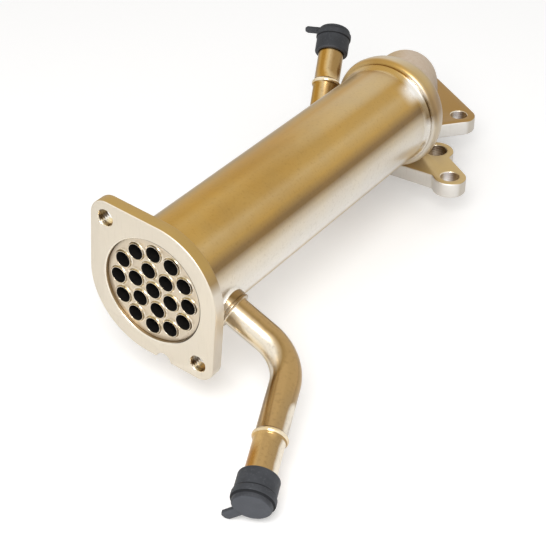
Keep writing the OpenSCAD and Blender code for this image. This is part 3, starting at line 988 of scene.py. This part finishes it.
cap_bore = PIPE_R + CAP_FIT
cap_inside = CAP_LEN - CAP_WALL + CAP_FIT
cap_outline = [(0.0, cap_inside), (cap_bore, cap_inside), (cap_bore, 0.0), (CAP_RIM_R - CAP_ROUND, 0.0),
               (CAP_RIM_R, CAP_ROUND), (CAP_RIM_R, RIDGE_START - RIDGE_SLOPE), (CAP_RIDGE_R, RIDGE_START),
               (CAP_RIDGE_R, RIDGE_STOP), (CAP_END_R, RIDGE_STOP + RIDGE_SLOPE),
               (CAP_END_R, CAP_LEN - CAP_ROUND), (CAP_END_R - CAP_ROUND, CAP_LEN), (0.0, CAP_LEN)]
corner_points = CORNER_STEPS + 1
cap_corners = eased(cap_outline, CAP_EASE)[corner_points:-corner_points]
cap_profile = cap_outline[:1] + cap_corners + cap_outline[-1:]
for side, pipe in (("front", FRONT_PIPE), ("rear", REAR_PIPE)):
    mouth = after_bend(pipe, pipe["end"] - CAP_LEN + CAP_WALL)
    cap = turned(f"moulded_{side}_cap", cap_profile, mouth, CAP_STEPS)
    dress(cap, rubber, "rubber", f"{side}_pipe_cap")
    darken_creases(cap, mouth)
    tab_place = (mouth @ Matrix.Rotation(math.radians(pipe["tab"]), 4, "Z")
                 @ Matrix.Translation(mm(0, 0, CAP_LEN - TAB_T)))
    dress(pull_tab(f"moulded_{side}_tab", tab_place), rubber, "rubber")


# The rear tube sheet and the two baffles are plain stainless sheet, pressed and drilled, and brazed
# to the tubes inside the shell. They show only where the part is cut open.
inner_steel, shader, wire = finish_of("hidden_sheet_steel", 1.0)
cloud = wire.grain(120, 3)
feed(shader, "Base Color", wire.mix(cloud, tone(150, 132, 104), tone(188, 172, 146)))
feed(shader, "Roughness", 0.3 + cloud * 0.2)
for node in ("rear_tube_sheet", "front_baffle", "rear_baffle"):
    nodes[node].data.materials.clear()
    nodes[node].data.materials.append(inner_steel)


# The studio: a plain pale floor that runs out to white, two large soft lamps, a small lamp beside
# the lens as the photograph's flash, and the camera where the photograph was taken.
FLOOR_HALF = 6.0
FLOOR_GAP = 0.0004
FLOOR_GLOW = 0.22
FILL_LIGHT = 0.6
shape = bmesh.new()
bmesh.ops.create_grid(shape, x_segments=1, y_segments=1, size=FLOOR_HALF)
floor = made("studio_floor", shape)
floor.location.z = cad_low.z - FLOOR_GAP
floor_white, shader, wire = finish_of("studio_floor_white", 0.0, 0.0)
shader.inputs["Base Color"].default_value = (0.95, 0.945, 0.94, 1)
shader.inputs["Roughness"].default_value = 0.9
shader.inputs["Emission Strength"].default_value = FLOOR_GLOW
feed(shader, "Emission Color", wire.node("ShaderNodeLightPath", out="Is Camera Ray"))
floor.data.materials.append(floor_white)

world = bpy.data.worlds.new("studio_world")
bpy.context.scene.world = world
world.use_nodes = True
sky = Wire(world.node_tree)
camera_ray, glossy_ray, through_ray = (sky.node("ShaderNodeLightPath", out=ray) for ray in
                                       ("Is Camera Ray", "Is Glossy Ray", "Is Transmission Ray"))
seen = (camera_ray + glossy_ray + through_ray).between(0.0, 1.0)
backdrop = world.node_tree.nodes["Background"]
backdrop.inputs["Color"].default_value = (1.0, 0.995, 0.985, 1)
feed(backdrop, "Strength", seen * (1 - FILL_LIGHT) + FILL_LIGHT)


def soft_lamp(name, spot, aim, size, power):
    """A round soft lamp that faces a point."""
    lamp = bpy.data.lights.new(name, "AREA")
    lamp.shape = "DISK"
    lamp.size = size
    lamp.energy = power
    carrier = bpy.data.objects.new(name, lamp)
    bpy.context.scene.collection.objects.link(carrier)
    carrier.location = spot
    carrier.rotation_euler = (Vector(aim) - Vector(spot)).to_track_quat("-Z", "Y").to_euler()


LENS_MM = 99.56
SENSOR_MM = 36.0
NEAR_CLIP = 0.01
FLASH_ABOVE = 0.15
FLASH_LEFT = 0.08
lens = Vector((0.3955, -0.4746, 0.4251))
back = Vector((0.468, -0.688, 0.555)).normalized()
up = back.cross(Vector((0.827, 0.562, 0.0))).normalized()
right = up.cross(back)
camera = bpy.data.objects.new("photo_camera", bpy.data.cameras.new("photo_camera"))
bpy.context.scene.collection.objects.link(camera)
camera.data.sensor_width = SENSOR_MM
camera.data.lens = LENS_MM
camera.data.clip_start = NEAR_CLIP
camera.data.dof.use_dof = False
camera.matrix_world = Matrix(((right.x, up.x, back.x, lens.x), (right.y, up.y, back.y, lens.y),
                              (right.z, up.z, back.z, lens.z), (0, 0, 0, 1)))
bpy.context.scene.camera = camera
bpy.context.scene.view_settings.view_transform = "Standard"

middle = Vector((0.0, 0.12, 0.0))
soft_lamp("side_lamp", (0.9, -0.5, 1.3), middle, size=1.8, power=2.6)
soft_lamp("top_lamp", (-0.6, 0.6, 1.4), middle, size=1.8, power=0.8)
soft_lamp("lens_lamp", lens + up * FLASH_ABOVE - right * FLASH_LEFT, middle, size=0.4, power=3.7)
